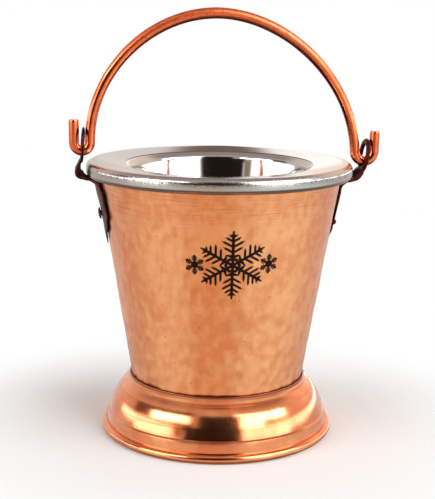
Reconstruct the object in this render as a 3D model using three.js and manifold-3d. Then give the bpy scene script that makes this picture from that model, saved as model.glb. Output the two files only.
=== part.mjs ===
// Copper ice bucket on a spun pedestal foot, with a steel liner and a swinging bail.
// Millimetres, +Z up. Both ears lie on the X axis. Every piece is drawn about the vessel's own axis,
// and the finished group is moved along X so that the origin is the middle of the whole footprint.

import * as THREE from 'three';
import { mergeVertices } from 'three/addons/utils/BufferGeometryUtils.js';
import Module from 'manifold-3d';

const wasm = await Module();
wasm.setup();

// ---- Driving dimensions ----

const AROUND = 40;                 // facets round the vessel
const FIT_GAP = 0.3;               // clearance between neighbouring pieces

const RIM_RADIUS = 76;             // outside of the rolled bead
const RIM_TOP = 157.9;
const BEAD_RADIUS = 3;             // middle of the sheet where the bead turns over
const BEAD_DROP = 1.8;             // straight part of the bead between its two turns
const BEAD_HEM_RADIUS = 70.6;      // where the turned-under edge stops

const LINER_SHEET = 1;
const LINER_FLOOR = 42;
const LINER_FLOOR_RADIUS = 37;
const LINER_THROAT_RADIUS = 44.6;  // above the throat the wall opens more steeply
const LINER_THROAT_HEIGHT = 127.3;
const LINER_MOUTH_RADIUS = 50.4;
const LINER_MOUTH_HEIGHT = 152.4;
const LINER_CORNER = 6;
const LIP_SLOPE_RADIUS = 53.8;     // where the lip starts, just outside the bend above the wall
const LIP_SLOPE_HEIGHT = 155.6;

const SHELL_SHEET = 1.2;
const SEAM_HEIGHT = 32.9;          // where the shell enters the foot
const SEAM_RADIUS = 50.5;          // outside of the shell at the seam
const SHELL_TOP_HEIGHT = 152;
const SHELL_TOP_RADIUS = 69.8;
const SHELL_BOTTOM = 28;
const SHELL_FLANGE_HEIGHT = 153.5; // flange that the liner's bead wraps
const SHELL_FLANGE_RADIUS = 73.6;
const SHELL_SLOPE = (SHELL_TOP_RADIUS - SEAM_RADIUS) / (SHELL_TOP_HEIGHT - SEAM_HEIGHT);
const SHELL_TILT = Math.atan(SHELL_SLOPE);

const FOOT_SHEET = 0.8;
const FOOT_RADIUS = 68;
const FOOT_BEAD = 2.1;             // middle of the sheet round the foot's rolled bead
const FOOT_LAND_INNER = 61;        // inner edge of the flat ring it stands on
const DOME_FOOT = [63, 11.7];      // lower end of the dome, radius and height
const DOME_BULGE = [59.4, 24.6];
const DOME_TOP = [53, 28.4];

const ROD_RADIUS = 2.87;
const ROD_SWELL = 0.28;            // extra radius in the middle of the grip
const BAIL_APEX = [-2.2, 240.4];

const EYE_HALF_WIDTH = 4.6;
const EYE_HALF_HEIGHT = 6.6;
const EYE_RISE = 3.3;              // centre of the eye above the rod that hangs in it
const RING_HALF_WIDTH = 7.6;
const RING_HALF_HEIGHT = 10;

const STRAP_SHEET = 2.2;           // strap where it bends out under the rim
const LEAF_SHEET = 1.3;            // leaf round the rivet
const LEAF_HALF_WIDTH = 16;
const RIVET_SHANK = 1.7;

// Each ear is forged by hand, so the two differ. side: -1 is left, +1 is right. The bail swings about
// the line through the two hinge points.
const LEFT = {
  side: -1,
  hinge: [78.1, 163.8],            // radius and height of the rod's lowest point
  hookRadius: 4.47,
  hookTop: 181.3,
  hookLean: 0,
  ringThick: 1.7,
  ringTwist: 0,
  ringLean: 4,                     // degrees, top towards +X
  ringShift: 0,
  strapTop: 142.6,
  strapTip: 110.8,
  rivetHeight: 128.6,
  rivetHead: [3.3, 1.3],           // radius and thickness of the peened head
  arm: [
    [70.6, 145.8], [73.2, 147.6], [76.3, 148.8], [79.2, 150.4],
    [80.5, 153.2], [79.9, 156.3], [78.8, 159],
  ],
  armThick: [[0, 1.1], [0.15, 0.9], [0.35, 1.6], [0.55, 2.7], [0.72, 1.7], [0.88, 1], [1, 0.9]],
};
const RIGHT = {
  side: 1,
  hinge: [85.3, 156.8],
  hookRadius: 5.75,
  hookTop: 174.3,
  hookLean: 0.2,
  ringThick: 2.4,
  ringTwist: 0.05,
  ringLean: 8,
  ringShift: -0.45,                // along X from the middle of the hook
  strapTop: 140,
  strapTip: 107.3,
  rivetHeight: 121.7,
  rivetHead: [1.9, 2.8],
  arm: [[70.3, 143.4], [73.4, 145.2], [77, 146.4], [80.2, 148], [82.2, 150.2], [83.2, 152.4]],
  armThick: [[0, 1.1], [0.25, 1.2], [0.5, 2.2], [0.72, 3.1], [0.88, 3], [1, 2]],
};

// ---- Solids ----

function toSolid(geometry) {
  const bare = geometry.clone();
  bare.deleteAttribute('normal');
  bare.deleteAttribute('uv');
  const merged = mergeVertices(bare, 1e-4);
  const mesh = new wasm.Mesh({
    numProp: 3,
    vertProperties: new Float32Array(merged.attributes.position.array),
    triVerts: new Uint32Array(merged.index.array),
  });
  return new wasm.Manifold(mesh);
}

function toGeometry(solid) {
  const mesh = solid.getMesh();
  const geometry = new THREE.BufferGeometry();
  geometry.setAttribute('position', new THREE.BufferAttribute(mesh.vertProperties, 3));
  geometry.setIndex(new THREE.BufferAttribute(mesh.triVerts, 1));
  geometry.computeVertexNormals();
  return geometry;
}

// ---- Outlines of bent sheet ----

const arc = (x, y, radius, from, to, steps) => {
  const points = [];
  for (let i = 0; i <= steps; i += 1) {
    const angle = THREE.MathUtils.degToRad(from + ((to - from) * i) / steps);
    points.push(new THREE.Vector2(x + radius * Math.cos(angle), y + radius * Math.sin(angle)));
  }
  return points;
};

const point = (x, y) => new THREE.Vector2(x, y);

const leftOf = (from, to) => {
  const along = to.clone().sub(from).normalize();
  return point(-along.y, along.x);
};

// Closed outline of a sheet of even thickness whose middle follows the path, with mitred bends.
function sheetOutline(path, thickness) {
  const last = path.length - 1;
  const offset = (sign) => path.map((p, i) => {
    const before = leftOf(path[Math.max(i - 1, 0)], path[Math.max(i, 1)]);
    const after = leftOf(path[Math.min(i, last - 1)], path[Math.min(i + 1, last)]);
    const mitre = before.clone().add(after).divideScalar(1 + before.dot(after));
    return p.clone().addScaledVector(mitre, (sign * thickness) / 2);
  });
  return [...offset(-1), ...offset(1).reverse()];
}

function revolve(outline) {
  const closed = outline[0].x === 0 ? outline : [...outline, outline[0].clone()];
  const geometry = new THREE.LatheGeometry(closed, AROUND);
  geometry.rotateX(Math.PI / 2);
  return geometry;
}

// ---- Vessel ----

function innerLiner() {
  const beadX = RIM_RADIUS - BEAD_RADIUS - LINER_SHEET / 2;
  const crown = RIM_TOP - BEAD_RADIUS - LINER_SHEET / 2;
  const lip = new THREE.QuadraticBezierCurve(
    point(LINER_MOUTH_RADIUS, LINER_MOUTH_HEIGHT),
    point(LINER_MOUTH_RADIUS + 0.6, LIP_SLOPE_HEIGHT - 1),
    point(LIP_SLOPE_RADIUS, LIP_SLOPE_HEIGHT),
  );
  const path = [
    point(0, LINER_FLOOR),
    ...arc(LINER_FLOOR_RADIUS - LINER_CORNER, LINER_FLOOR + LINER_CORNER, LINER_CORNER, -90, -5, 3),
    point(LINER_THROAT_RADIUS, LINER_THROAT_HEIGHT),
    ...lip.getPoints(4),
    ...arc(beadX, crown, BEAD_RADIUS, 96, 0, 3),
    ...arc(beadX, crown - BEAD_DROP, BEAD_RADIUS, 0, -90, 3),
    point(BEAD_HEM_RADIUS, crown - BEAD_DROP - BEAD_RADIUS),
  ];
  return revolve(sheetOutline(path, LINER_SHEET));
}

const shellRadiusAt = (height) => SEAM_RADIUS + SHELL_SLOPE * (height - SEAM_HEIGHT);

function rivetAxis(ear) {
  const place = new THREE.Object3D();
  place.position.set(ear.side * shellRadiusAt(ear.rivetHeight), 0, ear.rivetHeight);
  place.rotation.y = ear.side * (Math.PI / 2 + SHELL_TILT);
  place.updateMatrix();
  return place.matrix;
}

// A cylinder along the rivet's axis, long enough to clear the sheet and the strap.
function rivetHole(ear) {
  const hole = new THREE.CylinderGeometry(RIVET_SHANK + FIT_GAP, RIVET_SHANK + FIT_GAP, 16, 12);
  hole.rotateX(Math.PI / 2);
  hole.applyMatrix4(rivetAxis(ear));
  return toSolid(hole);
}

function outerShell() {
  const half = SHELL_SHEET / 2;
  const bottomRadius = shellRadiusAt(SHELL_BOTTOM) - half;
  const turn = SHELL_FLANGE_HEIGHT - SHELL_TOP_HEIGHT;
  const path = [
    point(0, SHELL_BOTTOM),
    ...arc(bottomRadius - 2, SHELL_BOTTOM + 2, 2, -90, 0, 2),
    point(shellRadiusAt(90) - half, 90),
    ...arc(SHELL_TOP_RADIUS - half + turn, SHELL_TOP_HEIGHT, turn, 170, 90, 3),
    point(SHELL_FLANGE_RADIUS, SHELL_FLANGE_HEIGHT),
  ];
  const shell = toSolid(revolve(sheetOutline(path, SHELL_SHEET)));
  return toGeometry(shell.subtract(rivetHole(LEFT)).subtract(rivetHole(RIGHT)));
}

function pedestalFoot() {
  const domeCorners = [DOME_FOOT, DOME_BULGE, DOME_TOP].map(([x, z]) => point(x, z));
  const dome = new THREE.QuadraticBezierCurve(...domeCorners);
  const half = FOOT_SHEET / 2;
  const beadX = FOOT_RADIUS - FOOT_BEAD - half;
  const beadZ = FOOT_BEAD + half;
  const neck = SEAM_RADIUS + FIT_GAP + half;
  const path = [
    point(FOOT_LAND_INNER, half + 1.6),
    point(FOOT_LAND_INNER, half),
    ...arc(beadX, beadZ, FOOT_BEAD, -90, 120, 5),
    point(64.4, 6.3),
    point(64.4, 8.6),
    point(64, 11),
    ...dome.getPoints(5),
    point(52.1, 29.3),
    point(52, 30.8),
    point(neck, 31.6),
    point(neck, SEAM_HEIGHT),
  ];
  return revolve(sheetOutline(path, FOOT_SHEET));
}

// ---- Swept bars ----

// A bar along a curve in the XZ plane. shape(t) gives half its width along Y, half its thickness
// across the curve and how far its section turns about the curve, at t from 0 to 1. crown is the
// radius that a wide bar is curved to across its width, or 0 for a flat one.
function sweepBar(curve, outline, steps, shape, crown = 0) {
  const settings = { depth: 1, steps, bevelEnabled: false, curveSegments: 6 };
  const geometry = new THREE.ExtrudeGeometry(outline, settings);
  const position = geometry.attributes.position;
  for (let i = 0; i < position.count; i += 1) {
    const t = position.getZ(i);
    const { width, thick, twist = 0 } = shape(t);
    const centre = curve.getPointAt(t);
    const along = curve.getTangentAt(t);
    const across = new THREE.Vector3(along.z, 0, -along.x);
    const y = position.getY(i) * width;
    const n = position.getX(i) * thick - (crown ? (y * y) / (2 * crown) : 0);
    const turnedY = y * Math.cos(twist) - n * Math.sin(twist);
    const turnedN = n * Math.cos(twist) + y * Math.sin(twist);
    centre.addScaledVector(across, turnedN);
    centre.y += turnedY;
    position.setXYZ(i, centre.x, centre.y, centre.z);
  }
  return geometry;
}

const roundSection = () => new THREE.Shape().absarc(0, 0, 1, 0, 2 * Math.PI, false);

// Flat bar with slightly eased edges, with points along its width so that it can be curved.
function barSection() {
  const ease = 0.08;
  const shape = new THREE.Shape();
  shape.moveTo(-1, -1 + ease);
  [-0.5, 0, 0.5].forEach((y) => shape.lineTo(-1, y));
  shape.lineTo(-1, 1 - ease);
  shape.lineTo(-0.7, 1);
  shape.lineTo(0.7, 1);
  shape.lineTo(1, 1 - ease);
  [0.5, 0, -0.5].forEach((y) => shape.lineTo(1, y));
  shape.lineTo(1, -1 + ease);
  shape.lineTo(0.7, -1);
  shape.lineTo(-0.7, -1);
  return shape;
}

const vec = (x, z) => new THREE.Vector3(x, 0, z);

// Smooth value between [t, value] stops.
function alongStops(stops, t) {
  const next = Math.max(1, stops.findIndex((stop) => stop[0] >= t));
  const [t0, v0] = stops[next - 1];
  const [t1, v1] = stops[next];
  return v0 + (v1 - v0) * THREE.MathUtils.smoothstep(t, t0, t1);
}

// ---- Ears ----

// The eye: an oval ring round the rod, leaning a little as it was bent.
function eyeRing(ear) {
  const round = 2 * Math.PI;
  const ring = new THREE.Shape().absellipse(0, 0, RING_HALF_WIDTH, RING_HALF_HEIGHT, 0, round, false, 0);
  const eye = new THREE.Path().absellipse(0, 0, EYE_HALF_WIDTH, EYE_HALF_HEIGHT, 0, round, true, 0);
  ring.holes.push(eye);
  const bevel = 0.5;
  const geometry = new THREE.ExtrudeGeometry(ring, {
    depth: ear.ringThick - 2 * bevel, steps: 1, curveSegments: 10,
    bevelThickness: bevel, bevelSize: bevel, bevelOffset: -bevel, bevelSegments: 1,
  });
  geometry.translate(0, EYE_RISE, bevel - ear.ringThick / 2);
  geometry.rotateX(Math.PI / 2);
  geometry.rotateZ(Math.PI / 2 + ear.side * ear.ringTwist);
  geometry.rotateY(THREE.MathUtils.degToRad(ear.ringLean));
  geometry.translate(ear.side * ear.hinge[0] + ear.ringShift, 0, ear.hinge[1]);
  return geometry;
}

// The arm comes out from under the rim and turns up to the eye.
function earArm(ear) {
  const curve = new THREE.CatmullRomCurve3(ear.arm.map(([x, z]) => vec(x, z)), false, 'centripetal');
  const widths = [[0, 8], [0.3, 5.6], [0.6, 3.6], [0.85, 3.4], [1, 4.6]];
  const shape = (t) => ({ width: alongStops(widths, t), thick: alongStops(ear.armThick, t) });
  return sweepBar(curve, roundSection(), 14, shape);
}

// The strap lies round the shell and widens into a pointed leaf.
function earStrap(ear) {
  const onShell = (height, halfThick) => {
    const out = FIT_GAP + halfThick;
    return vec(shellRadiusAt(height) + out * Math.cos(SHELL_TILT), height - out * Math.sin(SHELL_TILT));
  };
  const [bendX, bendZ] = ear.arm[0];
  const [armX, armZ] = ear.arm[1];
  const curve = new THREE.CatmullRomCurve3([
    onShell(ear.strapTip, 0.4), onShell(ear.rivetHeight, LEAF_SHEET / 2),
    onShell(ear.strapTop, STRAP_SHEET / 2), vec(bendX, bendZ), vec(armX, armZ),
  ], false, 'centripetal');
  const full = LEAF_HALF_WIDTH;
  const widths = [
    [0, 0.9], [0.15, full * 0.4], [0.3, full * 0.76], [0.46, full], [0.78, full], [0.9, 12], [1, 7.6],
  ];
  const leaf = LEAF_SHEET / 2;
  const strap = STRAP_SHEET / 2;
  const thicks = [[0, 0.4], [0.15, 0.6], [0.5, leaf], [0.8, strap], [1, strap]];
  const shape = (t) => ({ width: alongStops(widths, t), thick: alongStops(thicks, t) });
  return sweepBar(curve, barSection(), 16, shape, shellRadiusAt(ear.rivetHeight));
}

function ear(which) {
  const forged = [earArm(which), earStrap(which)].map((geometry) => {
    if (which.side < 0) geometry.rotateZ(Math.PI);
    return toSolid(geometry);
  });
  const whole = toSolid(eyeRing(which)).add(forged[0]).add(forged[1]);
  return toGeometry(whole.subtract(rivetHole(which)));
}

// Rivet turned about its own axis: outer head, shank through strap and shell, peened inner head.
function rivet(ear) {
  const [head, thick] = ear.rivetHead;
  const outerFace = 2 * FIT_GAP + LEAF_SHEET;
  const innerFace = -(SHELL_SHEET + FIT_GAP);
  const outline = [
    point(0, innerFace - 1.1), point(1.8, innerFace - 0.9), point(2.8, innerFace),
    point(RIVET_SHANK, innerFace), point(RIVET_SHANK, outerFace), point(head, outerFace),
    point(head, outerFace + thick * 0.5), point(head * 0.7, outerFace + thick),
    point(0, outerFace + thick * 1.1),
  ];
  const geometry = new THREE.LatheGeometry(outline, 16);
  geometry.rotateX(Math.PI / 2);
  geometry.applyMatrix4(rivetAxis(ear));
  return geometry;
}

// ---- Bail ----

class HookBend extends THREE.Curve {
  constructor(ear) {
    super();
    this.ear = ear;
  }

  // From the inner leg, under the hinge line, to the outer leg.
  getPoint(t, target = new THREE.Vector3()) {
    const { side, hinge, hookRadius } = this.ear;
    const angle = Math.PI * t;
    const x = hinge[0] - hookRadius * Math.cos(angle);
    return target.set(side * x, 0, hinge[1] + hookRadius - hookRadius * Math.sin(angle));
  }
}

function bailSide(ear, reach, legReach, legLean) {
  const { side, hinge, hookRadius, hookTop, hookLean } = ear;
  const bendTop = hinge[1] + hookRadius;
  const inner = side * (hinge[0] - hookRadius);
  const outer = side * (hinge[0] + hookRadius);
  const arch = new THREE.CubicBezierCurve3(
    vec(...BAIL_APEX),
    vec(BAIL_APEX[0] + side * reach, BAIL_APEX[1]),
    vec(inner - side * legLean, bendTop + legReach),
    vec(inner, bendTop),
  );
  const leg = new THREE.LineCurve3(vec(outer, bendTop), vec(outer + side * hookLean, hookTop));
  return { arch, bend: new HookBend(ear), leg };
}

// Points of one side from the apex down to the hook's cut end.
function bailPoints({ arch, bend, leg }) {
  const hook = [...bend.getSpacedPoints(8).slice(1), ...leg.getSpacedPoints(2).slice(1)];
  return [...arch.getSpacedPoints(16), ...hook];
}

function bailHandle() {
  const left = bailPoints(bailSide(LEFT, 38, 39, -0.3)).reverse();
  const right = bailPoints(bailSide(RIGHT, 38.3, 43, 2.6)).slice(1);
  const curve = new THREE.CatmullRomCurve3([...left, ...right], false, 'centripetal');
  curve.arcLengthDivisions = 1200;
  const grip = (t) => ROD_RADIUS + ROD_SWELL * THREE.MathUtils.smoothstep(Math.sin(Math.PI * t), 0.55, 1);
  return sweepBar(curve, roundSection(), 64, (t) => ({ width: grip(t), thick: grip(t) }));
}

// ---- Object ----

const finish = (color, roughness) => new THREE.MeshStandardMaterial({ color, roughness, metalness: 1 });
const steel = finish(0xc9c6c1, 0.15);
const copper = finish(0xd98e5f, 0.4);
const polishedCopper = finish(0xc9744a, 0.12);
const darkIron = finish(0x2e1812, 0.45);

const group = new THREE.Group();

function add(name, geometry, material) {
  const mesh = new THREE.Mesh(geometry, material);
  mesh.name = name;
  group.add(mesh);
}

add('inner_liner', innerLiner(), steel);
add('outer_shell', outerShell(), copper);
add('pedestal_foot', pedestalFoot(), polishedCopper);
add('left_ear', ear(LEFT), darkIron);
add('right_ear', ear(RIGHT), darkIron);
add('left_rivet', rivet(LEFT), darkIron);
add('right_rivet', rivet(RIGHT), darkIron);
add('bail_handle', bailHandle(), polishedCopper);

// The right-hand hook reaches further out than the left, so the footprint's middle is off the axis.
const footprint = new THREE.Box3().setFromObject(group, true);
group.position.x = -(footprint.min.x + footprint.max.x) / 2;

export default group;
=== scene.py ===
"""Copper ice bucket: its finished surfaces, materials, light and camera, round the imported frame.

Lengths in the shape sections are millimetres about the vessel's own axis, and mesh_object() turns
them into metres.
"""
import math
import random

import bmesh
import bpy
import numpy as np
from mathutils import Matrix, Vector, noise


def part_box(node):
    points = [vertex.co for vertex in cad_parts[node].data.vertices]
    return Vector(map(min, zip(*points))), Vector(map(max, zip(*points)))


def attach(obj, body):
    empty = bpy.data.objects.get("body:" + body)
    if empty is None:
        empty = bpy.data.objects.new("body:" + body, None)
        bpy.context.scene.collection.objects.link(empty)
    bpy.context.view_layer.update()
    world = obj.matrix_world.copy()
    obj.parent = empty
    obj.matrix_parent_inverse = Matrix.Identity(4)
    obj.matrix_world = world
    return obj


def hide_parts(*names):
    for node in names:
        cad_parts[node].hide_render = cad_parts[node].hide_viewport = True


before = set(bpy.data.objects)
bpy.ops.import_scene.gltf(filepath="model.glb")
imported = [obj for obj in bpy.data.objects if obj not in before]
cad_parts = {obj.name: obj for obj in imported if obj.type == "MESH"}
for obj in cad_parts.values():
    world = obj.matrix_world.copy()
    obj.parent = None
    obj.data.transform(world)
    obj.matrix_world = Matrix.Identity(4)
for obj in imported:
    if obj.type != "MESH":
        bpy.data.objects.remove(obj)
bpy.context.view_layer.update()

MM = 0.001
FOOT_LOW, FOOT_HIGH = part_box("pedestal_foot")
LINER_LOW, LINER_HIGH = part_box("inner_liner")
AXIS_X = (FOOT_LOW.x + FOOT_HIGH.x) / 2          # the vessel's own axis in the frame, metres

# ---- Driving dimensions ----

RIM_TOP = LINER_HIGH.z / MM
RIM_RADIUS = LINER_HIGH.y / MM                   # outside of the rolled bead
SEAM_HEIGHT = FOOT_HIGH.z / MM                   # where the shell enters the foot
FIT_GAP = 0.3

LINER_SHEET = 1.0
LINER_FLOOR = LINER_LOW.z / MM + LINER_SHEET / 2
LINER_FLOOR_RADIUS = 37.0
LINER_CORNER = 6.0
THROAT_RADIUS, THROAT_HEIGHT = 44.6, 127.3       # above the throat the wall opens more steeply
MOUTH_RADIUS, MOUTH_HEIGHT = 50.4, 152.4         # top of the liner's straight wall
LIP_RADIUS, LIP_HEIGHT = 53.8, 155.6             # where the tight bend above the wall meets the lip
BEAD_RADIUS = 3.0
BEAD_DROP = 1.8
BEAD_HEM_RADIUS = 70.6

SHELL_SHEET = 1.2
SEAM_RADIUS = 50.5
SHELL_TOP_RADIUS, SHELL_TOP_HEIGHT = 69.8, 152.0
SHELL_BOTTOM = 28.0
FLANGE_RADIUS, FLANGE_HEIGHT = 73.6, 153.5
SHELL_SLOPE = (SHELL_TOP_RADIUS - SEAM_RADIUS) / (SHELL_TOP_HEIGHT - SEAM_HEIGHT)
SHELL_TILT = math.atan(SHELL_SLOPE)

MARK_PITCH = 7.2                                 # between planishing marks along a course
MARK_COURSE = 8.4                                # between the courses of marks
MARK_HALF_WIDTH = 4.4
MARK_HALF_HEIGHT = 6.2
MARK_DEPTH = 0.38

FOOT_SHEET = 0.8
FOOT_RADIUS = 68.0
FOOT_BEAD = 2.1
FOOT_LAND_INNER = 61.0
FOOT_BAND = [(64.4, 6.3), (64.4, 8.6), (64.0, 11.0)]
DOME = [(63.0, 11.7), (59.4, 24.6), (53.0, 28.4)]
DOME_STEP = [(52.1, 29.3), (52.0, 30.8)]
NECK_FOOT = 31.6                                 # height where the foot's neck starts round the shell

ROD_RADIUS = 2.87
ROD_SWELL = 0.28
APEX = (-2.2, 240.4)

EYE = (4.6, 6.6)                                 # half width and half height of the eye's opening
RING = (7.6, 10.0)                               # the same for the outside of the ring
EYE_RISE = 3.3                                   # middle of the eye above the hinge line
STRAP_SHEET = 2.2                                # strap where it bends out under the rim
LEAF_SHEET = 1.3                                 # leaf round the rivet
LEAF_HALF_WIDTH = 16.0
RIVET_SHANK = 1.7
WELD_VOXEL = 0.34

MOTIF_HEIGHT = 110.0
MOTIF_TURN = math.radians(-2)
MOTIF_WALL = 62.0                                # the wall's radius at the motif
MOTIF_RADIUS = 19.0
SIDE_CRYSTAL_OFFSET, SIDE_CRYSTAL_RADIUS = 20.0, 5.8
PATCH_MIDDLE = 2.0                               # brushed patch round the motif, up and to its right
PATCH_HALF_WIDTH, PATCH_HALF_HEIGHT = 30.0, 27.0
PATCH_EDGE = 0.7

# Each ear is forged by hand, so the two differ. side is -1 on the left and +1 on the right, hinge and
# arm are (x, z) with x out from the axis, ring_lean is in degrees towards +X, rivet_head is its radius
# and thickness, and arm_thick is half the arm's thickness at shares of its length. The reaches and
# leg_lean shape the bail.
LEFT = {
    "side": -1, "hinge": (78.1, 163.8), "hook_radius": 4.47, "hook_top": 181.3, "hook_lean": 0.0,
    "ring_thick": 1.7, "ring_twist": 0.0, "ring_lean": 4.0, "ring_shift": 0.0,
    "strap_top": 142.6, "strap_tip": 110.8, "rivet_height": 128.6, "rivet_head": (3.3, 1.3),
    "arch_reach": 38.0, "leg_reach": 39.0, "leg_lean": -0.3,
    "arm": [(70.6, 145.8), (73.2, 147.6), (76.3, 148.8), (79.2, 150.4), (80.5, 153.2), (79.9, 156.3),
            (78.8, 159)],
    "arm_thick": [(0, 1.1), (0.15, 0.9), (0.35, 1.6), (0.55, 2.7), (0.72, 1.7), (0.88, 1), (1, 0.9)],
}
RIGHT = {
    "side": 1, "hinge": (85.3, 156.8), "hook_radius": 5.75, "hook_top": 174.3, "hook_lean": 0.2,
    "ring_thick": 2.4, "ring_twist": 0.05, "ring_lean": 8.0, "ring_shift": -0.45,
    "strap_top": 140.0, "strap_tip": 107.3, "rivet_height": 121.7, "rivet_head": (1.9, 2.8),
    "arch_reach": 38.3, "leg_reach": 43.0, "leg_lean": 2.6,
    "arm": [(70.3, 143.4), (73.4, 145.2), (77, 146.4), (80.2, 148), (82.2, 150.2), (83.2, 152.4)],
    "arm_thick": [(0, 1.1), (0.25, 1.2), (0.5, 2.2), (0.72, 3.1), (0.88, 3), (1, 2)],
}


# ---- Meshes ----

def mesh_object(name, points, faces, sharp_angle=40):
    """A smooth-shaded object from points in millimetres about the vessel's axis."""
    mesh = bpy.data.meshes.new(name)
    places = np.asarray(points, float) * MM + (AXIS_X, 0, 0)
    mesh.from_pydata(places.tolist(), [], faces)
    work = bmesh.new()
    work.from_mesh(mesh)
    bmesh.ops.recalc_face_normals(work, faces=work.faces)
    work.to_mesh(mesh)
    work.free()
    finish_shading(mesh, sharp_angle)
    piece = bpy.data.objects.new(name, mesh)
    bpy.context.scene.collection.objects.link(piece)
    return piece


def finish_shading(mesh, sharp_angle):
    mesh.shade_smooth()
    mesh.set_sharp_from_angle(angle=math.radians(sharp_angle))
    mesh.update()


def apply_modifiers(piece, sharp_angle=50):
    """Replaces the piece's mesh by what its modifiers make of it."""
    graph = bpy.context.evaluated_depsgraph_get()
    made = bpy.data.meshes.new_from_object(piece.evaluated_get(graph))
    piece.modifiers.clear()
    piece.data = made
    finish_shading(made, sharp_angle)


def smoothstep(value, low, high):
    share = np.clip((np.asarray(value, float) - low) / (high - low), 0, 1)
    return share * share * (3 - 2 * share)


def along_stops(stops, t):
    """Smooth value between [t, value] stops."""
    t = np.asarray(t, float)
    value = np.full(t.shape, float(stops[0][1]))
    for (t0, v0), (t1, v1) in zip(stops, stops[1:]):
        value += (v1 - v0) * smoothstep(t, t0, t1)
    return value


def rough(points, size, seed):
    """Smooth noise from -1 to 1 at each point, with bumps of about the given size."""
    shift = Vector((seed * 7.3, seed * 3.1, seed * 5.7))
    return np.array([noise.noise(Vector(p) / size + shift) for p in points])


def quads_between(rows, around, closed=False):
    """Faces between rows of points, each row a loop. closed joins the last row to the first."""
    faces = []
    for i in range(rows if closed else rows - 1):
        following = (i + 1) % rows
        for j in range(around):
            k = (j + 1) % around
            faces.append([i * around + j, i * around + k, following * around + k, following * around + j])
    return faces


# ---- Turned sheet ----

def arc(x, z, radius, start, end, steps):
    angles = np.radians(np.linspace(start, end, steps + 1))
    return [(x + radius * math.cos(a), z + radius * math.sin(a)) for a in angles]


def bezier(corners, steps):
    points = []
    for t in np.linspace(0, 1, steps + 1):
        level = [np.array(c, float) for c in corners]
        while len(level) > 1:
            level = [a * (1 - t) + b * t for a, b in zip(level, level[1:])]
        points.append(tuple(level[0]))
    return points


def with_steps(path, longest):
    """The same path with its long stretches cut into steps no longer than this."""
    points = [path[0]]
    for before, after in zip(path, path[1:]):
        length = math.dist(before, after)
        if length < 1e-6:
            continue
        count = max(1, math.ceil(length / longest))
        for i in range(1, count + 1):
            points.append(tuple(np.array(before) + (np.array(after) - before) * i / count))
    return points


def sheet_outline(path, thickness):
    """Closed outline of a sheet of even thickness whose middle follows the path, with mitred bends."""
    p = np.array(path, float)
    steps = np.diff(p, axis=0)
    steps /= np.linalg.norm(steps, axis=1)[:, None]
    left = np.stack([-steps[:, 1], steps[:, 0]], 1)
    before = np.vstack([left[:1], left])
    after = np.vstack([left, left[-1:]])
    mitre = (before + after) / (1 + (before * after).sum(1))[:, None]
    low, high = p - mitre * thickness / 2, p + mitre * thickness / 2
    return np.vstack([low, high[::-1]])


def lathe(name, outline, around, reshape=None, sharp_angle=40):
    """Turns a closed outline about the vessel's axis.

    reshape(radius, height, azimuth) gives new radii and heights.
    """
    azimuth = np.linspace(0, 2 * math.pi, around, endpoint=False)
    radius, height = (np.repeat(outline[:, i], around) for i in (0, 1))
    turn = np.tile(azimuth, len(outline))
    if reshape:
        radius, height = reshape(radius, height, turn)
    points = np.stack([radius * np.sin(turn), -radius * np.cos(turn), height], 1)
    on_axis = outline[:, 0] < 1e-6
    rings = [np.arange(around) + i * around for i in range(len(outline))]
    for i in np.flatnonzero(on_axis):
        rings[i] = np.full(around, i * around)
    pairs = list(zip(rings, rings[1:]))
    if not on_axis.any():
        pairs.append((rings[-1], rings[0]))
    faces = []
    for lower, upper in pairs:
        quads = zip(lower, np.roll(lower, -1), np.roll(upper, -1), upper)
        faces += [list(dict.fromkeys(int(v) for v in quad)) for quad in quads]
    used = np.unique(np.concatenate(rings))
    renumber = {int(old): new for new, old in enumerate(used)}
    faces = [[renumber[v] for v in face] for face in faces if len(face) > 2]
    return mesh_object(name, points[used], faces, sharp_angle)


# ---- Vessel ----

def inner_liner():
    """Spun steel vessel. Its lip is rolled over the shell, and the rolling left fine chatter on the bead."""
    bead_x = RIM_RADIUS - BEAD_RADIUS - LINER_SHEET / 2
    crown = RIM_TOP - BEAD_RADIUS - LINER_SHEET / 2
    foot_of_wall = np.array([LINER_FLOOR_RADIUS, LINER_FLOOR + LINER_CORNER])
    throat, mouth = np.array([THROAT_RADIUS, THROAT_HEIGHT]), np.array([MOUTH_RADIUS, MOUTH_HEIGHT])
    bend = bezier([throat * 0.88 + foot_of_wall * 0.12, throat, throat * 0.7 + mouth * 0.3], 8)
    lip_corner = (MOUTH_RADIUS + 0.6, LIP_HEIGHT - 1)
    lip = bezier([(MOUTH_RADIUS, MOUTH_HEIGHT), lip_corner, (LIP_RADIUS, LIP_HEIGHT)], 16)
    roll = arc(bead_x, crown, BEAD_RADIUS, 96, 0, 10)
    path = [(0, LINER_FLOOR)]
    path += arc(LINER_FLOOR_RADIUS - LINER_CORNER, LINER_FLOOR + LINER_CORNER, LINER_CORNER, -90, -5, 10)
    path += with_steps([path[-1], bend[0]], 12)[1:] + bend[1:]
    path += with_steps([bend[-1], lip[0]], 3)[1:] + lip[1:]
    path += with_steps([lip[-1], roll[0]], 3)[1:-1] + roll
    path += arc(bead_x, crown - BEAD_DROP, BEAD_RADIUS, 0, -90, 10)
    path.append((BEAD_HEM_RADIUS, crown - BEAD_DROP - BEAD_RADIUS))

    def chatter(radius, height, turn):
        places = np.stack([radius * np.sin(turn), -radius * np.cos(turn), height * 0.6], 1)
        on_bead = smoothstep(radius, RIM_RADIUS - 3.4, RIM_RADIUS - 1.2)
        fine = rough(places, 1.5, 3) * 0.045 + rough(places, 4.5, 4) * 0.06
        waves = rough(places * (1, 1, 0.2), 26, 5) * 0.16
        return radius + on_bead * (fine + waves * 0.5), height + on_bead * fine * 0.5

    return lathe("inner_liner_spun", sheet_outline(path, LINER_SHEET), 480, chatter)


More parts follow.
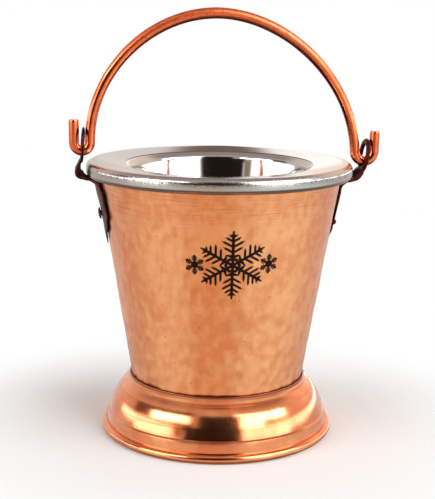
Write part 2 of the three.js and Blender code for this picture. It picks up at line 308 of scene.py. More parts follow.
def shell_radius_at(height):
    return SEAM_RADIUS + SHELL_SLOPE * (height - SEAM_HEIGHT)


def hammer_marks():
    """Places, sizes and depths of the planishing marks, in courses up the wall that leave no gaps."""
    draw = random.Random(11)
    marks = []
    height = SEAM_HEIGHT - 6
    while height < SHELL_TOP_HEIGHT:
        radius = shell_radius_at(height)
        count = round(2 * math.pi * radius / MARK_PITCH)
        start = draw.random()
        for i in range(count):
            turn = 2 * math.pi * (i + start + draw.uniform(-0.3, 0.3)) / count
            mark_height = height + draw.uniform(-2.6, 2.6)
            size, strength = draw.uniform(0.8, 1.35), draw.uniform(0.35, 1.0)
            marks.append((turn, mark_height, size, strength))
        height += MARK_COURSE
    return np.array(marks)


def planished(radius, height, turn):
    """Overlapping shallow hollows on the outside of the wall; they fade out towards the top edge."""
    depth = np.zeros(len(radius))
    outside = radius > shell_radius_at(height) - SHELL_SHEET * 0.4
    outside &= (height > SHELL_BOTTOM + 3) & (height < SHELL_TOP_HEIGHT - 1)
    for mark_turn, mark_height, size, strength in hammer_marks():
        near = outside & (np.abs(height - mark_height) < MARK_HALF_HEIGHT * size)
        index = np.flatnonzero(near)
        offset = (turn[index] - mark_turn + math.pi) % (2 * math.pi) - math.pi
        across = offset * radius[index] / (MARK_HALF_WIDTH * size)
        up = (height[index] - mark_height) / (MARK_HALF_HEIGHT * size)
        bowl = np.clip(1 - across ** 2 - up ** 2, 0, 1) ** 1.5 * strength
        depth[index] = np.maximum(depth[index], bowl) + 0.25 * bowl
    fade = 1 - 0.8 * smoothstep(height, SHELL_TOP_HEIGHT - 26, SHELL_TOP_HEIGHT - 8)
    return radius - MARK_DEPTH * depth * fade, height


def outer_shell():
    half = SHELL_SHEET / 2
    bottom_radius = shell_radius_at(SHELL_BOTTOM) - half
    turn = FLANGE_HEIGHT - SHELL_TOP_HEIGHT
    corner = 2
    wall_top = SHELL_TOP_HEIGHT - 2
    wall = [(bottom_radius, SHELL_BOTTOM + corner), (shell_radius_at(wall_top) - half, wall_top)]
    path = [(0, SHELL_BOTTOM), (bottom_radius - corner, SHELL_BOTTOM)]
    path += arc(bottom_radius - corner, SHELL_BOTTOM + corner, corner, -90, 0, 5)[1:]
    path += with_steps(wall, 1.15)[1:]
    path += arc(SHELL_TOP_RADIUS - half + turn, SHELL_TOP_HEIGHT, turn, 170, 90, 5)
    path.append((FLANGE_RADIUS, FLANGE_HEIGHT))
    return lathe("outer_shell_planished", sheet_outline(path, SHELL_SHEET), 320, planished)


def pedestal_foot():
    half = FOOT_SHEET / 2
    bead_x = FOOT_RADIUS - FOOT_BEAD - half
    bead_z = FOOT_BEAD + half
    neck = SEAM_RADIUS + FIT_GAP + half
    path = [(FOOT_LAND_INNER, half + 1.6), (FOOT_LAND_INNER, half)]
    path += arc(bead_x, bead_z, FOOT_BEAD, -90, 120, 18)
    path += FOOT_BAND + bezier(DOME, 24) + DOME_STEP
    path += [(neck, NECK_FOOT), (neck, SEAM_HEIGHT)]
    return lathe("pedestal_foot_spun", sheet_outline(path, FOOT_SHEET), 288, sharp_angle=32)


# ---- Swept bars ----

def catmull(points, count):
    """Evenly spaced points along a smooth curve through the given ones."""
    p = np.array(points, float)
    p = np.vstack([2 * p[0] - p[1], p, 2 * p[-1] - p[-2]])
    knots = np.concatenate([[0], np.cumsum(np.linalg.norm(np.diff(p, axis=0), axis=1) ** 0.5)])
    curve = []
    for i in range(1, len(p) - 2):
        corners, times = p[i - 1:i + 3], knots[i - 1:i + 3]
        t = np.linspace(times[1], times[2], 24)[:, None]

        def between(first, second, low, high):
            return (first * (times[high] - t) + second * (t - times[low])) / (times[high] - times[low])

        lines = [between(corners[j], corners[j + 1], j, j + 1) for j in range(3)]
        bends = [between(lines[j], lines[j + 1], j, j + 2) for j in range(2)]
        curve.append(between(bends[0], bends[1], 1, 2))
    return even(np.vstack(curve), count)


def even(curve, count):
    """The curve again as evenly spaced points."""
    lengths = np.concatenate([[0], np.cumsum(np.linalg.norm(np.diff(curve, axis=0), axis=1))])
    wanted = np.linspace(0, lengths[-1], count)
    return np.stack([np.interp(wanted, lengths, curve[:, i]) for i in range(curve.shape[1])], 1)


def squircle(count, power):
    """A closed unit outline that is round at power 2 and nearly square at high powers."""
    angles = np.linspace(0, 2 * math.pi, count, endpoint=False)
    c, s = np.cos(angles), np.sin(angles)
    return np.stack([np.sign(c) * np.abs(c) ** (2 / power), np.sign(s) * np.abs(s) ** (2 / power)], 1)


def swept(curve, section, width, thick, crown=0):
    """Points and faces of a bar along a curve of (x, z) points. width is along Y, thick across the curve."""
    tangent = np.gradient(curve, axis=0)
    tangent /= np.linalg.norm(tangent, axis=1)[:, None]
    across = np.stack([tangent[:, 1], -tangent[:, 0]], 1)
    rows = []
    for centre, side, w, h in zip(curve, across, width, thick):
        y = section[:, 1] * w
        n = section[:, 0] * h - (y * y / (2 * crown) if crown else 0)
        rows.append(np.stack([centre[0] + side[0] * n, y, centre[1] + side[1] * n], 1))
    around = len(section)
    points = np.vstack(rows)
    faces = quads_between(len(curve), around)
    faces.append(list(range(around)))
    faces.append(list(range(len(points) - around, len(points))))
    return points, faces


def ring_of(ear):
    """Points and faces of the eye: an oval ring round the rod, leaning a little as it was bent."""
    section = squircle(20, 3.2)
    angles = np.linspace(0, 2 * math.pi, 72, endpoint=False)
    share = 0.5 + 0.5 * section[:, 0]
    loops = []
    for angle in angles:
        y = math.cos(angle) * (EYE[0] + (RING[0] - EYE[0]) * share)
        rise = EYE_RISE + math.sin(angle) * (EYE[1] + (RING[1] - EYE[1]) * share)
        loops.append(np.stack([section[:, 1] * ear["ring_thick"] / 2, y, rise], 1))
    turn = Matrix.Rotation(math.radians(ear["ring_lean"]), 3, "Y")
    turn @= Matrix.Rotation(ear["side"] * ear["ring_twist"], 3, "Z")
    middle = (ear["side"] * ear["hinge"][0] + ear["ring_shift"], 0, ear["hinge"][1])
    points = np.vstack(loops) @ np.array(turn).T + middle
    return points, quads_between(len(angles), len(section), closed=True)


def arm_of(ear):
    """The arm comes out from under the rim and turns up to the eye."""
    curve = catmull(ear["arm"], 60)
    t = np.linspace(0, 1, len(curve))
    width = along_stops([(0, 8), (0.3, 5.6), (0.6, 3.6), (0.85, 3.4), (1, 4.6)], t)
    return swept(curve, squircle(28, 2.3), width, along_stops(ear["arm_thick"], t))


def on_shell(height, half_thick):
    """A point (radius, height) in the middle of a sheet that lies on the wall's outside."""
    out = FIT_GAP + half_thick
    return shell_radius_at(height) + out * math.cos(SHELL_TILT), height - out * math.sin(SHELL_TILT)


def strap_of(ear):
    """The strap lies round the shell and widens into a pointed leaf."""
    leaf, strap = LEAF_SHEET / 2, STRAP_SHEET / 2
    tip, middle = on_shell(ear["strap_tip"], 0.4), on_shell(ear["rivet_height"], leaf)
    curve = catmull([tip, middle, on_shell(ear["strap_top"], strap)] + ear["arm"][:2], 90)
    t = np.linspace(0, 1, len(curve))
    full = LEAF_HALF_WIDTH
    pointed = [(0, 0.9), (0.15, full * 0.4), (0.3, full * 0.76), (0.46, full)]
    width = along_stops(pointed + [(0.78, full), (0.9, 12), (1, 7.6)], t)
    thick = along_stops([(0, 0.4), (0.15, 0.6), (0.5, leaf), (0.8, strap), (1, strap)], t)
    return swept(curve, squircle(64, 4), width, thick, crown=shell_radius_at(ear["rivet_height"]))


def on_side(bar, side):
    """The same bar on its ear's side of the vessel."""
    points, faces = bar
    return points * (side, 1, 1), faces


def forged_ear(name, ear):
    """Ring, arm and strap welded into one forging, then left uneven by the hammer."""
    points, faces = [], []
    for part in (ring_of(ear), on_side(arm_of(ear), ear["side"]), on_side(strap_of(ear), ear["side"])):
        start = len(points)
        points += part[0].tolist()
        faces += [[corner + start for corner in face] for face in part[1]]
    piece = mesh_object(name, points, faces)
    remesh = piece.modifiers.new("weld", "REMESH")
    remesh.mode = "VOXEL"
    remesh.voxel_size = WELD_VOXEL * MM
    soften = piece.modifiers.new("soften", "SMOOTH")
    soften.factor = 0.5
    soften.iterations = 3
    apply_modifiers(piece, 80)
    dent(piece, 5.0, 0.12, 21)
    dent(piece, 1.6, 0.04, 22)
    return piece


def dent(piece, size, depth, seed):
    """Moves the surface in and out along its normals, in mm, by smooth noise."""
    mesh = piece.data
    places = np.array([v.co for v in mesh.vertices]) / MM
    normals = np.array([v.normal for v in mesh.vertices])
    places += normals * (rough(places, size, seed) * depth - depth * 0.3)[:, None]
    mesh.vertices.foreach_set("co", (places * MM).astype(np.float32).ravel())
    mesh.update()


def rivet(name, ear):
    """Peened rivet: outer head, shank through strap and shell, inner head."""
    head, thick = ear["rivet_head"]
    outer, inner = 2 * FIT_GAP + LEAF_SHEET, -(SHELL_SHEET + FIT_GAP)
    outline = [(0, inner - 1.1), (1.8, inner - 0.9), (2.8, inner)]
    outline += [(RIVET_SHANK, inner), (RIVET_SHANK, outer)]
    outline += [(head - 0.2, outer), (head, outer + thick * 0.2), (head * 0.97, outer + thick * 0.55)]
    outline += [(head * 0.8, outer + thick * 0.85), (head * 0.45, outer + thick * 1.05)]
    outline += [(0, outer + thick * 1.1)]
    around = 32
    lean = math.pi / 2 + SHELL_TILT
    points = []
    for radius, height in outline:
        for i in range(around):
            angle = 2 * math.pi * i / around
            wobble = 1 + 0.05 * noise.noise(Vector((math.cos(angle) * 1.3, math.sin(angle) * 1.3, height)))
            a, b = radius * wobble * math.cos(angle), radius * wobble * math.sin(angle)
            out = height * math.sin(lean) + a * math.cos(lean)
            up = height * math.cos(lean) - a * math.sin(lean)
            base = shell_radius_at(ear["rivet_height"])
            points.append((ear["side"] * (base + out), b, ear["rivet_height"] + up))
    piece = mesh_object(name, points, quads_between(len(outline), around))
    merge_points(piece.data)
    return piece


def merge_points(mesh):
    work = bmesh.new()
    work.from_mesh(mesh)
    bmesh.ops.remove_doubles(work, verts=work.verts, dist=0.001 * MM)
    bmesh.ops.dissolve_degenerate(work, edges=work.edges, dist=0.0001 * MM)
    bmesh.ops.recalc_face_normals(work, faces=work.faces)
    work.to_mesh(mesh)
    work.free()


# ---- Bail ----

def bail_side(ear):
    """(x, z) points of one side: from the apex down the leg, round under the hinge, to the hook's end."""
    side, (hinge_x, hinge_z), radius = ear["side"], ear["hinge"], ear["hook_radius"]
    bend_top = hinge_z + radius
    inner, outer = side * (hinge_x - radius), side * (hinge_x + radius)
    arch = bezier([
        APEX,
        (APEX[0] + side * ear["arch_reach"], APEX[1]),
        (inner - side * ear["leg_lean"], bend_top + ear["leg_reach"]),
        (inner, bend_top),
    ], 160)
    bend = [(side * (hinge_x - radius * math.cos(a)), bend_top - radius * math.sin(a))
            for a in np.linspace(0, math.pi, 49)]
    return arch + bend[1:] + [(outer + side * ear["hook_lean"], ear["hook_top"])]


def bail_handle():
    line = bail_side(LEFT)[::-1] + bail_side(RIGHT)[1:]
    curve = even(np.array(with_steps(line, 1.0)), 560)
    t = np.linspace(0, 1, len(curve))
    radius = ROD_RADIUS + ROD_SWELL * smoothstep(np.sin(math.pi * t), 0.55, 1)
    ends = np.minimum(t, 1 - t) * len(curve)
    radius = radius * (0.84 + 0.16 * np.sqrt(np.clip(ends / 1.2, 0, 1)))
    points, faces = swept(curve, squircle(32, 2), radius, radius)
    piece = mesh_object("bail_rod", points, faces)
    dent(piece, 12.0, 0.05, 31)
    return piece


# ---- Node trees ----

class Value:
    """A number worked out by a shader, so that its maths reads like arithmetic."""

    def __init__(self, nodes, socket):
        self.nodes, self.socket = nodes, socket

    def __add__(self, other):
        return self.nodes.maths("ADD", self, other)

    def __sub__(self, other):
        return self.nodes.maths("SUBTRACT", self, other)

    def __mul__(self, other):
        return self.nodes.maths("MULTIPLY", self, other)

    def __truediv__(self, other):
        return self.nodes.maths("DIVIDE", self, other)

    __radd__, __rmul__ = __add__, __mul__

    def __rsub__(self, other):
        return self.nodes.maths("SUBTRACT", other, self)

    def __abs__(self):
        return self.nodes.maths("ABSOLUTE", self)


class Nodes:
    """Short ways to add and join the nodes of one tree."""

    def __init__(self, tree):
        self.tree = tree
        tree.nodes.clear()

    def feed(self, socket, value):
        if isinstance(value, Value):
            value = value.socket
        if isinstance(value, bpy.types.NodeSocket):
            self.tree.links.new(value, socket)
        else:
            socket.default_value = value

    def add(self, kind, inputs=None, **settings):
        node = self.tree.nodes.new("ShaderNode" + kind)
        for name, value in settings.items():
            setattr(node, name, value)
        for name, value in (inputs or {}).items():
            self.feed(node.inputs[name], value)
        return node

    def parts(self, vector):
        """The x, y and z of a vector."""
        return [Value(self, socket) for socket in self.add("SeparateXYZ", {0: vector}).outputs]

    def maths(self, operation, *terms):
        node = self.add("Math", dict(enumerate(terms)), operation=operation)
        return Value(self, node.outputs[0])

    def rise(self, value, low, high, start=0.0, end=1.0):
        """Goes smoothly from start to end while value goes from low to high."""
        inputs = {0: value, 1: low, 2: high, 3: start, 4: end}
        node = self.add("MapRange", inputs, interpolation_type="SMOOTHSTEP")
        return Value(self, node.outputs[0])

    def within(self, value, centre, half, edge):
        """1 within half of the centre and 0 further off, over a soft edge."""
        return self.rise(abs(value - centre), half - edge, half + edge, 1.0, 0.0)

    def most(self, *terms):
        best = terms[0]
        for term in terms[1:]:
            best = self.maths("MAXIMUM", best, term)
        return best

    def least(self, *terms):
        best = terms[0]
        for term in terms[1:]:
            best = self.maths("MINIMUM", best, term)
        return best

    def blend(self, share, first, second):
        node = self.add("Mix", {0: share, 6: first, 7: second}, data_type="RGBA")
        return node.outputs[2]

    def scaled(self, vector, factors):
        return self.add("VectorMath", {0: vector, 1: factors}, operation="MULTIPLY").outputs[0]

    def noise(self, vector, size, detail=2.0, roughness=0.5):
        """Smooth noise about 0.5, with bumps of about this size in mm."""
        inputs = {"Vector": vector, "Scale": 1 / (size * MM), "Detail": detail, "Roughness": roughness}
        return Value(self, self.add("TexNoise", inputs).outputs["Fac"])

    def spots(self, vector, size):
        """Distance from scattered points, 0 on a point, that lie about this far apart in mm."""
        inputs = {"Vector": vector, "Scale": 1 / (size * MM)}
        return Value(self, self.add("TexVoronoi", inputs).outputs["Distance"])

    def bump(self, height, depth, normal=None):
        """Height from 0 to 1 stands for this depth in mm."""
        inputs = {"Height": height, "Distance": depth * MM, "Strength": 1.0}
        if normal:
            inputs["Normal"] = normal
        return self.add("Bump", inputs).outputs[0]


def rgb(red, green, blue):
    """A display colour, 0 to 255, as the linear colour that shaders use."""
    def linear(value):
        value /= 255
        return value / 12.92 if value <= 0.04045 else ((value + 0.055) / 1.055) ** 2.4
    return linear(red), linear(green), linear(blue), 1.0


def new_material(name):
    material = bpy.data.materials.new(name)
    material.use_nodes = True
    nodes = Nodes(material.node_tree)
    place = nodes.add("TexCoord").outputs["Object"]
    return material, nodes, place


def finish_material(nodes, **inputs):
    names = {key: key.replace("_", " ").title().replace("Ior", "IOR") for key in inputs}
    surface = nodes.add("BsdfPrincipled", {names[key]: value for key, value in inputs.items()})
    nodes.add("OutputMaterial", {"Surface": surface.outputs[0]})


def vessel_place(nodes, place):
    """Azimuth from the vessel's front, in radians, and height in mm, for a point in the frame."""
    x, y, z = nodes.parts(place)
    return nodes.maths("ARCTAN2", x - AXIS_X, y * -1), z * (1 / MM)


def axis_distance(nodes, place):
    """Distance from the vessel's axis, and height, both in mm, for a point in the frame."""
    x, y, z = nodes.parts(place)
    x = x - AXIS_X
    return nodes.maths("SQRT", x * x + y * y) * (1 / MM), z * (1 / MM)


# ---- Materials ----

def ice_crystal(nodes, across, up, line=0.036):
    """1 on the lines of a six-armed ice crystal of radius 1 about (0, 0). line is half a line's width."""
    edge = 0.012
    branches = [(0.22, 0.15), (0.38, 0.26), (0.54, 0.3), (0.7, 0.2), (0.83, 0.1)]   # start and length
    forward, sideways = 0.5, 0.866                   # branches leave the arm at 60 degrees
    turn = nodes.maths("ARCTAN2", across, up)
    folded = abs(nodes.maths("WRAP", turn, math.pi / 6, -math.pi / 6))
    reach = nodes.maths("SQRT", across * across + up * up)
    x = reach * nodes.maths("COSINE", folded)
    y = reach * nodes.maths("SINE", folded)
    strokes = [nodes.least(nodes.within(y, 0, line * 1.25, edge), nodes.rise(x, 0.93, 0.95, 1, 0))]
    for start, length in branches:
        along = (x - start) * forward + y * sideways
        beside = y * forward - (x - start) * sideways
        strokes.append(nodes.least(
            nodes.within(beside, 0, line, edge), nodes.within(along, length / 2, length / 2, edge)))
        strokes.append(nodes.within(abs(along - length - 0.02) + abs(beside) * 1.5, 0, 0.035, edge))
    strokes.append(nodes.within(x, 0.17, line * 1.2, edge))
    strokes.append(nodes.within(x, 0.29, line * 0.7, edge))
    strokes.append(nodes.within(abs(x - 0.97) + abs(y) * 1.7, 0, 0.06, edge))
    strokes.append(nodes.within(reach, 0, 0.06, edge))
    return nodes.most(*strokes)


def satin_copper():
    """Lacquered planished copper with fine lathe lines near the top and a printed motif on the front."""
    material, nodes, place = new_material("satin_copper")
    turn, height = vessel_place(nodes, place)
    tall = nodes.scaled(place, (1, 1, 0.75))
    lines = nodes.scaled(place, (0.02, 0.02, 1))
    blotch = nodes.noise(tall, 5, 2.5, 0.5)
    broad = nodes.noise(tall, 24, 2)
    brush = nodes.noise(lines, 0.45, 4, 0.65)
    glow = nodes.rise(blotch * 0.6 + broad * 0.4, 0.38, 0.62)
    colour = nodes.blend(glow, rgb(230, 140, 86), rgb(243, 164, 109))
    stain = nodes.rise(nodes.noise(tall, 13, 2), 0.6, 0.72)
    colour = nodes.blend(stain * 0.45, colour, rgb(232, 128, 68))
    near_top = nodes.rise(height, 124, 140)
    streak = nodes.rise(brush, 0.48, 0.68)
    colour = nodes.blend(near_top * streak * 0.5, colour, rgb(186, 92, 50))
    pits = nodes.rise(nodes.spots(place, 8), 0.035, 0.06, 1, 0)
    colour = nodes.blend(pits * 0.75, colour, rgb(92, 40, 24))
    across, up = (turn - MOTIF_TURN) * MOTIF_WALL, height - MOTIF_HEIGHT

    def inside_patch(inset):
        return nodes.least(
            nodes.within(across, PATCH_MIDDLE, PATCH_HALF_WIDTH - inset, 0.5),
            nodes.within(up, PATCH_MIDDLE, PATCH_HALF_HEIGHT - inset, 0.5))

    patch = inside_patch(0)
    edge = nodes.least(patch, 1 - inside_patch(PATCH_EDGE))
    colour = nodes.blend(edge * 0.14, colour, rgb(244, 190, 150))
    beside = (abs(across) - SIDE_CRYSTAL_OFFSET) / SIDE_CRYSTAL_RADIUS
    printed = nodes.most(
        ice_crystal(nodes, across / MOTIF_RADIUS, up / MOTIF_RADIUS),
        ice_crystal(nodes, beside, up / SIDE_CRYSTAL_RADIUS, 0.06),
    )
    colour = nodes.blend(printed, colour, rgb(26, 8, 6))
    roughness = 0.27 + 0.10 * blotch + printed * 0.3
    normal = nodes.bump(brush * (0.003 + 0.009 * nodes.most(near_top, patch)), 1.0)
    normal = nodes.bump(nodes.noise(tall, 3.2, 2), 0.035, normal)
    tangent = nodes.add("Tangent", direction_type="RADIAL", axis="Z").outputs[0]
    finish_material(nodes, base_color=colour, metallic=1 - printed * 0.95, roughness=roughness,
                    normal=normal, anisotropic=0.3, tangent=tangent, coat_roughness=0.25,
                    coat_weight=0.6 - printed * 0.6, specular_ior_level=0.5 - printed * 0.4)
    return material


def polished_copper():
    """Spun and buffed copper with thin turning lines, and a dark ring where the shell enters it: part
    tarnish, part painted shade.
    """
    material, nodes, place = new_material("polished_copper")
    _, height = vessel_place(nodes, place)
    smear = nodes.noise(place, 14, 3)
    turned = nodes.noise(nodes.scaled(place, (0.03, 0.03, 1)), 0.6, 3, 0.6)
    colour = nodes.blend(nodes.rise(smear, 0.4, 0.65), rgb(232, 134, 84), rgb(242, 154, 102))
    groove = nodes.rise(nodes.noise(nodes.scaled(place, (0.01, 0.01, 1)), 1.1, 2), 0.6, 0.72)
    colour = nodes.blend(groove * 0.45, colour, rgb(150, 66, 34))
    # Part tarnish, part painted shade: a dark ring where the shell enters the foot's neck.
    seam_tarnish_and_shade = nodes.within(height, SEAM_HEIGHT, 0.9, 0.5)
    colour = nodes.blend(seam_tarnish_and_shade * 0.85, colour, rgb(92, 32, 18))
    roughness = 0.08 + 0.09 * smear + 0.06 * turned
    normal = nodes.bump(turned, 0.008)
    normal = nodes.bump(nodes.noise(place, 8, 2), 0.07, normal)
    finish_material(nodes, base_color=colour, metallic=1.0, roughness=roughness, normal=normal,
                    coat_weight=0.6, coat_roughness=0.08)
    return material


def rod_copper():
    """Drawn and buffed copper rod, worn duller and pitted where the hand holds it, with painted shade below.
    """
    material, nodes, place = new_material("rod_copper")
    height = nodes.parts(place)[2] * (1 / MM)
    normal_up = nodes.parts(nodes.add("NewGeometry").outputs["Normal"])[2]
    mottled = nodes.noise(place, 4, 3, 0.6)
    fine = nodes.noise(place, 0.9, 3)
    grip = nodes.rise(height, 205, 228)
    colour = nodes.blend(nodes.rise(mottled, 0.35, 0.7), rgb(224, 100, 54), rgb(234, 118, 68))
    colour = nodes.blend(grip * nodes.rise(fine, 0.5, 0.65) * 0.35, colour, rgb(150, 48, 24))
    pits = nodes.rise(nodes.spots(place, 3.0), 0.05, 0.13, 1, 0)
    colour = nodes.blend(pits * (0.1 + 0.4 * grip), colour, rgb(96, 30, 16))
    # Painted shade: surfaces facing down are coloured dark red-brown.
    underside_shade = nodes.rise(normal_up, -0.85, -0.25, 1, 0)
    colour = nodes.blend(underside_shade * 0.75, colour, rgb(84, 18, 10))
    roughness = 0.13 + 0.06 * mottled + 0.24 * grip
    normal = nodes.bump(fine, 0.003)
    normal = nodes.bump(mottled, 0.012, normal)
    finish_material(nodes, base_color=colour, metallic=1.0, roughness=roughness, normal=normal,
                    coat_weight=0.5, coat_roughness=0.15)
    return material


def polished_steel():
    """Mirror-polished steel. The rolled bead is scuffed, with dark crazing where the roller bit, massed into
    a band of painted dark reflection, and a line of painted shade at its hem.
    """
    material, nodes, place = new_material("polished_steel")
    radius, z = axis_distance(nodes, place)
    turned = nodes.noise(nodes.scaled(place, (0.03, 0.03, 1)), 0.7, 3, 0.6)
    smear = nodes.noise(place, 18, 3)
    on_bead = nodes.rise(radius, RIM_RADIUS - 3.6, RIM_RADIUS - 1.8)
    # Painted reflection: a band round the bead, where the studio's dark side mirrors, is speckled dark
    # through the crazing.
    dark_reflection_band = on_bead * nodes.within(z, RIM_TOP - 3.1, 1.1, 0.8)
    crazed = nodes.rise(nodes.noise(nodes.scaled(place, (1, 1, 0.7)), 1.1, 4, 0.75), 0.54, 0.6)
    colour = nodes.blend(smear, rgb(186, 181, 178), rgb(200, 196, 194))
    colour = nodes.blend(on_bead * 0.5, colour, rgb(178, 170, 165))
    colour = nodes.blend(dark_reflection_band * crazed * 0.85, colour, rgb(34, 28, 25))
    # Painted shade: a thin dark line along the bead's hem, where the bead overhangs the shell.
    hem_shade = on_bead * nodes.within(z, RIM_TOP - 6.8, 0.4, 0.4)
    colour = nodes.blend(hem_shade * 0.7, colour, rgb(60, 40, 32))
    roughness = 0.04 + 0.05 * smear + 0.04 * turned + on_bead * (0.1 + 0.1 * crazed)
    normal = nodes.bump(turned, 0.004)
    normal = nodes.bump(nodes.noise(place, 1.3, 3, 0.7) * on_bead, 0.06, normal)
    finish_material(nodes, base_color=colour, metallic=1.0, roughness=roughness, normal=normal)
    return material


def dark_forging():
    """Hand-forged metal with a dark brown patina that is worn to copper on its edges."""
    material, nodes, place = new_material("dark_forging")
    scale = nodes.noise(place, 2.4, 4, 0.6)
    broad = nodes.noise(place, 9, 2)
    pointed = Value(nodes, nodes.add("NewGeometry").outputs["Pointiness"])
    worn = nodes.rise(pointed, 0.52, 0.6) * nodes.rise(scale, 0.4, 0.7)
    colour = nodes.blend(nodes.rise(broad + scale * 0.5, 0.6, 0.95), rgb(36, 12, 9), rgb(84, 30, 20))
    colour = nodes.blend(worn * 0.7, colour, rgb(170, 72, 44))
    roughness = 0.3 + 0.25 * scale
    normal = nodes.bump(scale, 0.1)
    finish_material(nodes, base_color=colour, metallic=0.9, roughness=roughness, normal=normal)
    return material


# ---- Studio ----

CAMERA_TURN = math.radians(-9)     # the camera stands a little to the left of the front
CAMERA_DISTANCE = 0.66416          # metres from the vessel's axis
CAMERA_HEIGHT = 0.24295
CAMERA_TILT = math.radians(-11.679)
CAMERA_YAW = math.radians(0.041)
CAMERA_ROLL = math.radians(0.7425)
CAMERA_LENS = 84.17


def photo_camera():
    data = bpy.data.cameras.new("camera")
    data.lens = CAMERA_LENS
    data.sensor_width = 36
    data.clip_start = 0.01
    camera = bpy.data.objects.new("camera", data)
    bpy.context.scene.collection.objects.link(camera)
    across, back = math.sin(CAMERA_TURN), math.cos(CAMERA_TURN)
    camera.location = (AXIS_X + CAMERA_DISTANCE * across, -CAMERA_DISTANCE * back, CAMERA_HEIGHT)
    aim = Matrix.Rotation(CAMERA_TURN + CAMERA_YAW, 3, "Z")
    aim @= Matrix.Rotation(math.pi / 2 + CAMERA_TILT, 3, "X")
    aim @= Matrix.Rotation(CAMERA_ROLL, 3, "Z")
    camera.rotation_euler = aim.to_euler()
    bpy.context.scene.camera = camera


DARK = (0.02, 0.014, 0.012)
WARM = (0.17, 0.12, 0.10)
WHITE = (3.2, 3.2, 3.2)
BRIGHT = (7.0, 7.0, 7.0)

# How steeply, in degrees, the camera looks down at each part.
BAIL_VIEW, RIM_VIEW, WALL_VIEW, FOOT_VIEW = 3.0, 8.5, 14.0, 20.5

# Cards and softboxes of the studio, later ones in front. Each stands where surfaces of one part of the
# bucket that face a certain way mirror it to the camera: the view onto that part, the middle azimuth and
# half width of the facing to the camera's right, its lowest and highest elevation, the softness across
# and up (all in degrees), and the panel's brightness.
PANELS = [
    (WALL_VIEW, 0, 180, -90, -24, 3, 10, (0.40, 0.32, 0.28)),
    (WALL_VIEW, 0, 180, -30, -15, 3, 4, (0.50, 0.40, 0.34)),
    (WALL_VIEW, 31, 20, -17, 4, 12, 5, (1.00, 1.16, 1.16)),
    (WALL_VIEW, -28, 14, -17, 4, 9, 5, (0.94, 1.00, 0.98)),
    (WALL_VIEW, -3, 12, -17, 2, 8, 4, (0.84, 0.70, 0.56)),
    (RIM_VIEW, 0, 180, -90, -32, 3, 8, (0.26, 0.18, 0.15)),
    (RIM_VIEW, 90, 62, 72, 90, 20, 5, (1.40, 1.36, 1.32)),
    (RIM_VIEW, -90, 62, 72, 90, 20, 5, (0.95, 0.87, 0.82)),
    (RIM_VIEW, 0, 30, 74, 90, 14, 4, (0.22, 0.155, 0.12)),
    (RIM_VIEW, 90, 42, 20, 72, 8, 5, (1.15, 0.96, 0.78)),
    (RIM_VIEW, -90, 38, 20, 72, 8, 5, (0.88, 0.80, 0.72)),
    (BAIL_VIEW, -6, 12, -1, 5, 4, 1.5, (0.16, 0.10, 0.07)),
    (BAIL_VIEW, -31, 8, -1, 5, 3, 1.5, (3.6, 3.4, 3.0)),
    (BAIL_VIEW, 26, 9, -1, 5, 3, 1.5, (3.0, 2.8, 2.6)),
    (FOOT_VIEW, -33, 20, 15.8, 40, 2, 2.5, WARM),
    (FOOT_VIEW, -42, 7, 20, 26, 2, 1.5, (1.3, 1.15, 0.9)),
    (FOOT_VIEW, -31, 17.5, 16.3, 20.3, 2, 0.8, BRIGHT),
    (FOOT_VIEW, -27, 12, 26, 34, 2, 1.5, BRIGHT),
    (FOOT_VIEW, 27, 15.5, 16.3, 38, 2.5, 1.5, BRIGHT),
    (FOOT_VIEW, 35, 8, 21, 28, 1.5, 1.2, (1.0, 0.82, 0.55)),
    (RIM_VIEW, 48, 38, 9.5, 16, 2, 1.2, WHITE),
    (RIM_VIEW, -40, 22, 9.5, 16, 1.5, 1.2, WHITE),
    (RIM_VIEW, -75, 13, 9.5, 16, 1.5, 1.2, (0.9, 0.72, 0.52)),
    (RIM_VIEW, -20, 3, 9.5, 16, 1.5, 1.2, (0.42, 0.33, 0.24)),
    (RIM_VIEW, -2.5, 15, 4, 17, 1.5, 1.5, DARK),
    (FOOT_VIEW, 2, 12, 15, 36, 2.5, 2.5, DARK),
]
BACKDROP = (0.74, 0.68, 0.65)
CEILING = (0.48, 0.40, 0.36)


def panel(nodes, azimuth, elevation, centre, half_width, low, high, soft_across, soft_up):
    """1 inside one panel of the studio."""
    offset = nodes.maths("WRAP", azimuth - centre, 180.0, -180.0)
    wide = nodes.within(offset, 0, half_width, soft_across)
    tall = nodes.within(elevation, (low + high) / 2, (high - low) / 2, soft_up)
    return wide * tall


def facing(nodes, towards, view):
    """Azimuth and elevation, in degrees, of the surface that mirrors this direction to the camera."""
    level, drop = math.cos(math.radians(view)), -math.sin(math.radians(view))
    forward = (-math.sin(CAMERA_TURN) * level, math.cos(CAMERA_TURN) * level, drop)
    x, y, z = (part - ahead for part, ahead in zip(towards, forward))
    degrees = 180 / math.pi
    azimuth = (nodes.maths("ARCTAN2", x, y * -1) - CAMERA_TURN) * degrees
    return azimuth, nodes.maths("ARCTAN2", z, nodes.maths("SQRT", x * x + y * y)) * degrees


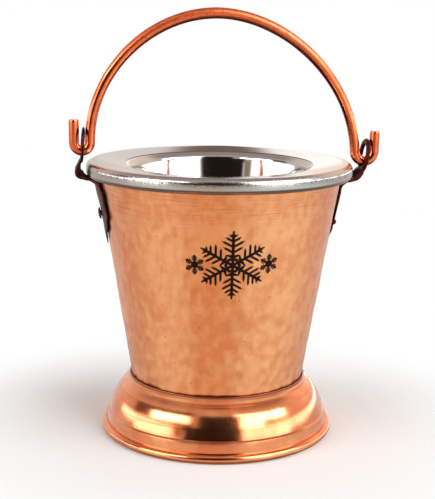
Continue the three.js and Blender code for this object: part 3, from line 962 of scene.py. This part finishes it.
def studio():
    """Surroundings for reflections. The camera itself sees plain white."""
    world = bpy.data.worlds.new("studio")
    bpy.context.scene.world = world
    world.use_nodes = True
    nodes = Nodes(world.node_tree)
    towards = nodes.parts(nodes.add("TexCoord").outputs["Generated"])
    views = (BAIL_VIEW, RIM_VIEW, WALL_VIEW, FOOT_VIEW)
    facings = {view: facing(nodes, towards, view) for view in views}
    overhead = nodes.rise(facings[FOOT_VIEW][1], 42, 54)
    lit = nodes.blend(overhead, (*BACKDROP, 1), (*CEILING, 1))
    for view, *area, brightness in PANELS:
        lit = nodes.blend(panel(nodes, *facings[view], *area), lit, (*brightness, 1))
    seen = nodes.blend(nodes.add("LightPath").outputs["Is Camera Ray"], lit, (1, 1, 1, 1))
    background = nodes.add("Background", {"Color": seen, "Strength": 1.0})
    nodes.add("OutputWorld", {"Surface": background.outputs[0]})
    bpy.context.scene.view_settings.view_transform = "Standard"


FLOOR_WHITE = (0.73, 0.775, 0.79, 1)
FLOOR_WHITE_LIGHTER = (0.74, 0.785, 0.80, 1)
FLOOR_SIZE = 3.0                   # metres, to each side
FLOOR_DROP = 0.0002                # keeps the floor clear of the foot
SHADOW_START, SHADOW_END = 80, 200               # mm from the axis, over which the floor turns plain white


def floor_material():
    """White, with the bucket's soft shadow near its foot."""
    material, nodes, place = new_material("pale_floor")
    reach, _ = axis_distance(nodes, place)
    grain = nodes.noise(place, 40, 2)
    white = nodes.blend(grain, FLOOR_WHITE, FLOOR_WHITE_LIGHTER)
    shadowed = nodes.add("BsdfDiffuse", {"Color": white}).outputs[0]
    plain = nodes.add("Emission", {"Color": (1, 1, 1, 1), "Strength": 1.0}).outputs[0]
    plain_share = nodes.rise(reach, SHADOW_START, SHADOW_END)
    surface = nodes.add("MixShader", {0: plain_share, 1: shadowed, 2: plain}).outputs[0]
    nodes.add("OutputMaterial", {"Surface": surface})
    return material


def floor():
    """Only the camera sees the floor. To reflections the studio goes on below it."""
    size = FLOOR_SIZE
    corners = [(-size, -size, 0), (size, -size, 0), (size, size, 0), (-size, size, 0)]
    mesh = bpy.data.meshes.new("floor")
    mesh.from_pydata(corners, [], [(0, 1, 2, 3)])
    plane = bpy.data.objects.new("floor", mesh)
    bpy.context.scene.collection.objects.link(plane)
    plane.location.z = -FLOOR_DROP
    plane.visible_glossy = False
    plane.visible_diffuse = False
    plane.visible_shadow = False
    mesh.materials.append(floor_material())


# ---- Assembly ----

def place(piece, body, node, slot, material):
    piece.data.materials.clear()
    piece.data.materials.append(material)
    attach(piece, body)
    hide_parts(node)


steel, satin, polished = polished_steel(), satin_copper(), polished_copper()
rod, forging = rod_copper(), dark_forging()
place(inner_liner(), "bucket", "inner_liner", "polished_steel", steel)
place(outer_shell(), "bucket", "outer_shell", "hammered_copper", satin)
place(pedestal_foot(), "bucket", "pedestal_foot", "polished_copper", polished)
place(forged_ear("left_ear_forged", LEFT), "bucket", "left_ear", "dark_forging", forging)
place(forged_ear("right_ear_forged", RIGHT), "bucket", "right_ear", "dark_forging", forging)
place(rivet("left_rivet_peened", LEFT), "bucket", "left_rivet", "dark_forging", forging)
place(rivet("right_rivet_peened", RIGHT), "bucket", "right_rivet", "dark_forging", forging)
place(bail_handle(), "bail", "bail_handle", "copper_rod", rod)

floor()
studio()
photo_camera()
